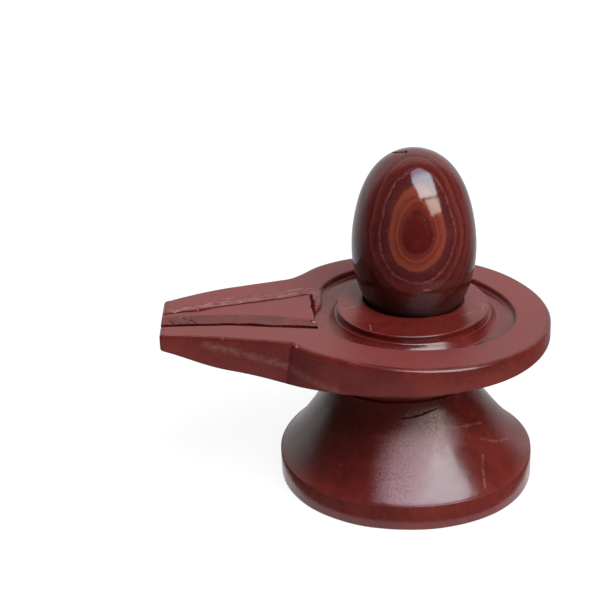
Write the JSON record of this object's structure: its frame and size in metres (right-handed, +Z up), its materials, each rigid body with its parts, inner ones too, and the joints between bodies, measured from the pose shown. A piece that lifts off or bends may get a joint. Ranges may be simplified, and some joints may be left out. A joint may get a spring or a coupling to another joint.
{
  "type": "shiva lingam stone in a yoni base",
  "caption": "Egg-shaped banded red-brown stone standing in the socket of a carved stone base with a round foot, a waist, a drain plate and a channelled spout.",
  "frame": {"origin": "middle of the foot's underside, on the surface the base stands on", "axes": "+Z up through the foot, -X towards the tip of the spout, +Y to the side of the broken kerf"},
  "size_m": [0.1246, 0.09, 0.1111],
  "materials": {
    "base_stone": "red-brown stone, honed on top of the plate and polished elsewhere",
    "lingam_stone": "banded red-brown jasper, high polish"
  },
  "bodies": {
    "root": {"yoni_base": "base_stone", "lingam": "lingam_stone"}
  },
  "joints": []
}
